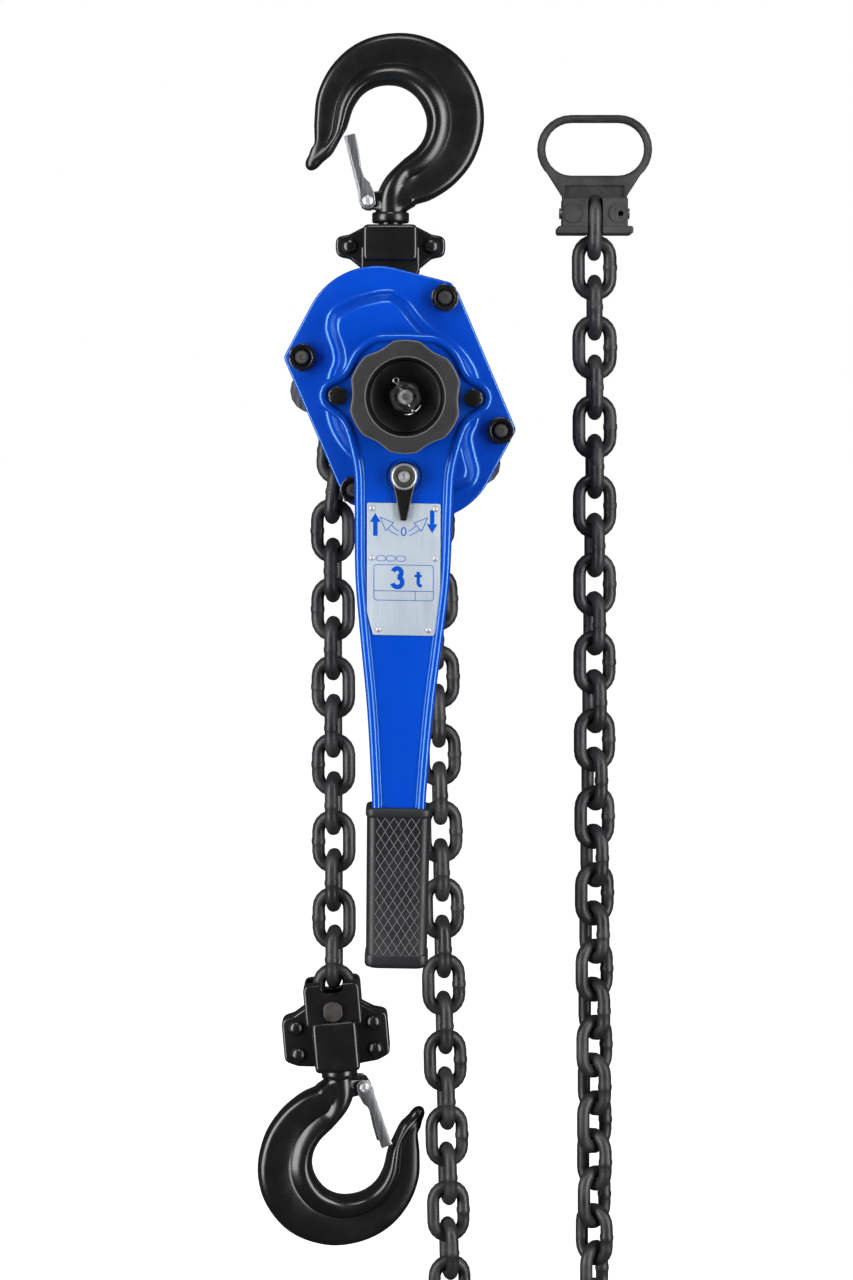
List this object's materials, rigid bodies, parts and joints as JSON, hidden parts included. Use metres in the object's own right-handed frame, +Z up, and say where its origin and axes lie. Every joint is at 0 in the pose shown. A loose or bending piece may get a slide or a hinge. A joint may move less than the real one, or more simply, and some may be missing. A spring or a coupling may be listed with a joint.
{
  "type": "lever chain hoist",
  "caption": "Hand-operated lever chain hoist with swivel hooks and latches, load chain, bottom block, chain end ring, ratchet lever and hand wheel.",
  "frame": {"origin": "the seat of the top hook, where it rests on its support, in the hooks' middle plane", "axes": "+Z up, +Y back from the lever side towards the gear cover, +X to the right as seen from the lever side"},
  "size_m": [0.3022, 0.201, 1.0799],
  "materials": {
    "machined_steel": "machined steel, lightly oiled",
    "black_paint": "satin black paint over forged steel",
    "blue_paint": "glossy royal blue powder coat",
    "black_chain": "oiled black oxide",
    "zinc_plate": "bright zinc plate",
    "brushed_plate": "brushed aluminium with plain blue print",
    "black_plastic": "textured black plastic",
    "grip_rubber": "moulded rubber with a diamond pattern",
    "friction_lining": "woven friction lining",
    "cast_steel": "matt dark grey cast surface"
  },
  "bodies": {
    "hoist_body": {"front_plate": "blue_paint", "rear_plate": "blue_paint", "brake_cover": "blue_paint", "gear_cover": "blue_paint", "stay_bolt_1": "black_paint", "stay_bolt_2": "black_paint", "stay_bolt_3": "black_paint", "stay_bolt_4": "black_paint", "sheave_bearing_front": "machined_steel", "sheave_bearing_rear": "machined_steel", "ratchet_disc": "machined_steel", "top_pin": "machined_steel", "chain_lead_link": "black_chain", "slack_chain": "black_chain"},
    "top_yoke": {"top_yoke_front": "black_paint", "top_yoke_rear": "black_paint", "top_yoke_rivet_left": "black_paint", "top_yoke_rivet_right": "black_paint"},
    "top_hook": {"top_hook": "black_paint", "top_latch_pin": "zinc_plate"},
    "top_latch": {"top_latch": "zinc_plate"},
    "guide_roller_left": {"guide_roller_left": "machined_steel"},
    "guide_roller_right": {"guide_roller_right": "machined_steel"},
    "sheave": {"load_sheave": "machined_steel", "load_gear": "machined_steel", "wrapped_chain": "black_chain"},
    "drive": {"drive_shaft": "machined_steel", "brake_hub": "machined_steel", "friction_disc_inner": "friction_lining", "friction_disc_outer": "friction_lining", "change_gear": "machined_steel", "hand_wheel": "black_plastic", "castle_nut": "machined_steel", "cotter_pin": "machined_steel"},
    "reduction_gear_upper": {"reduction_gear_upper": "machined_steel"},
    "reduction_gear_lower": {"reduction_gear_lower": "machined_steel"},
    "brake_pawl_upper": {"brake_pawl_upper": "machined_steel"},
    "brake_pawl_lower": {"brake_pawl_lower": "machined_steel"},
    "lever": {"lever_rear_shell": "blue_paint", "lever_front_shell": "blue_paint", "lever_bolt_left": "black_paint", "lever_bolt_right": "black_paint", "grip": "grip_rubber", "name_plate": "brushed_plate"},
    "selector": {"selector": "black_paint", "selector_pawl": "machined_steel"},
    "load_chain": {"load_chain": "black_chain"},
    "lower_block": {"lower_yoke_front": "black_paint", "lower_yoke_rear": "black_paint", "lower_yoke_rivet_1": "black_paint", "lower_yoke_rivet_2": "black_paint", "lower_yoke_rivet_3": "black_paint", "lower_yoke_rivet_4": "black_paint", "chain_pin": "machined_steel"},
    "bottom_hook": {"bottom_hook": "black_paint", "bottom_latch_pin": "zinc_plate"},
    "bottom_latch": {"bottom_latch": "zinc_plate"},
    "end_ring": {"chain_end_ring": "cast_steel", "chain_end_pin": "machined_steel"},
    "end_link": {"chain_end_link": "black_chain"}
  },
  "joints": [
    {"name": "top_yoke_tilt", "type": "hinge", "parent": "hoist_body", "child": "top_yoke", "pos_m": [0, 0, -0.154], "axis": [0, 1, 0], "range_deg": [-6, 6]},
    {"name": "top_hook_swivel", "type": "hinge", "parent": "top_yoke", "child": "top_hook", "pos_m": [0, 0, -0.12], "axis": [0, 0, 1], "continuous": true},
    {"name": "top_latch_swing", "type": "hinge", "parent": "top_hook", "child": "top_latch", "pos_m": [-0.017, 0, -0.0863], "axis": [0, 1, 0], "range_deg": [0, 32], "stiffness_Nm_per_rad": 0.02, "springref_deg": -17.19},
    {"name": "guide_roller_left_spin", "type": "hinge", "parent": "hoist_body", "child": "guide_roller_left", "pos_m": [-0.0588, 0, -0.2284], "axis": [0, 1, 0], "continuous": true},
    {"name": "guide_roller_right_spin", "type": "hinge", "parent": "hoist_body", "child": "guide_roller_right", "pos_m": [0.0663, 0, -0.2831], "axis": [0, 1, 0], "continuous": true},
    {"name": "sheave_turn", "type": "hinge", "parent": "hoist_body", "child": "sheave", "pos_m": [0.012, 0, -0.233], "axis": [0, 1, 0], "range_deg": [0, 5]},
    {"name": "drive_turn", "type": "hinge", "parent": "hoist_body", "child": "drive", "pos_m": [0.012, 0, -0.233], "axis": [0, 1, 0], "range_deg": [0, 60]},
    {"name": "reduction_gear_upper_turn", "type": "hinge", "parent": "hoist_body", "child": "reduction_gear_upper", "pos_m": [-0.00496, 0, -0.20586], "axis": [0, 1, 0], "range_deg": [-15, 0]},
    {"name": "reduction_gear_lower_turn", "type": "hinge", "parent": "hoist_body", "child": "reduction_gear_lower", "pos_m": [0.02896, 0, -0.26014], "axis": [0, 1, 0], "range_deg": [-15, 0]},
    {"name": "load_chain_lift", "type": "slide", "parent": "hoist_body", "child": "load_chain", "axis": [0, 0, 1], "range_m": [0, 0.00397]},
    {"name": "brake_pawl_upper_swing", "type": "hinge", "parent": "hoist_body", "child": "brake_pawl_upper", "pos_m": [-0.031, 0, -0.219], "axis": [0, 1, 0], "range_deg": [0, 12], "stiffness_Nm_per_rad": 0.01, "springref_deg": -17.19},
    {"name": "brake_pawl_lower_swing", "type": "hinge", "parent": "hoist_body", "child": "brake_pawl_lower", "pos_m": [0.055, 0, -0.247], "axis": [0, 1, 0], "range_deg": [0, 12], "stiffness_Nm_per_rad": 0.01, "springref_deg": -17.19},
    {"name": "lever_swing", "type": "hinge", "parent": "hoist_body", "child": "lever", "pos_m": [0.012, 0, -0.233], "axis": [0, 1, 0], "continuous": true},
    {"name": "selector_swing", "type": "hinge", "parent": "lever", "child": "selector", "pos_m": [0.011, 0, -0.29019], "axis": [0, 1, 0], "range_deg": [-20, 20]},
    {"name": "lower_block_swing", "type": "hinge", "parent": "load_chain", "child": "lower_block", "pos_m": [-0.045, 0, -0.704], "axis": [0, 1, 0], "range_deg": [-1.2, 8]},
    {"name": "bottom_hook_swivel", "type": "hinge", "parent": "lower_block", "child": "bottom_hook", "pos_m": [-0.03499, 0, -0.82569], "axis": [0.0819, 0, -0.9966], "range_deg": [-135, 135]},
    {"name": "bottom_latch_swing", "type": "hinge", "parent": "bottom_hook", "child": "bottom_latch", "pos_m": [-0.02307, 0.00295, -0.76641], "axis": [-0.1731, 0.9848, -0.0142], "range_deg": [0, 32], "stiffness_Nm_per_rad": 0.02, "springref_deg": -17.19},
    {"name": "end_link_swing", "type": "hinge", "parent": "hoist_body", "child": "end_link", "pos_m": [0.1538, 0, -0.1257], "axis": [0, 1, 0], "range_deg": [-2, 2]},
    {"name": "end_ring_tilt", "type": "hinge", "parent": "end_link", "child": "end_ring", "pos_m": [0.1538, 0, -0.0953], "axis": [1, 0, 0], "range_deg": [-15, 15]}
  ],
  "couplings": [
    {"joint": "drive_turn", "follows": "sheave_turn", "ratio": 12},
    {"joint": "reduction_gear_upper_turn", "follows": "sheave_turn", "ratio": -3},
    {"joint": "reduction_gear_lower_turn", "follows": "sheave_turn", "ratio": -3},
    {"joint": "load_chain_lift", "follows": "sheave_turn", "m_per_rad": 0.0454}
  ]
}
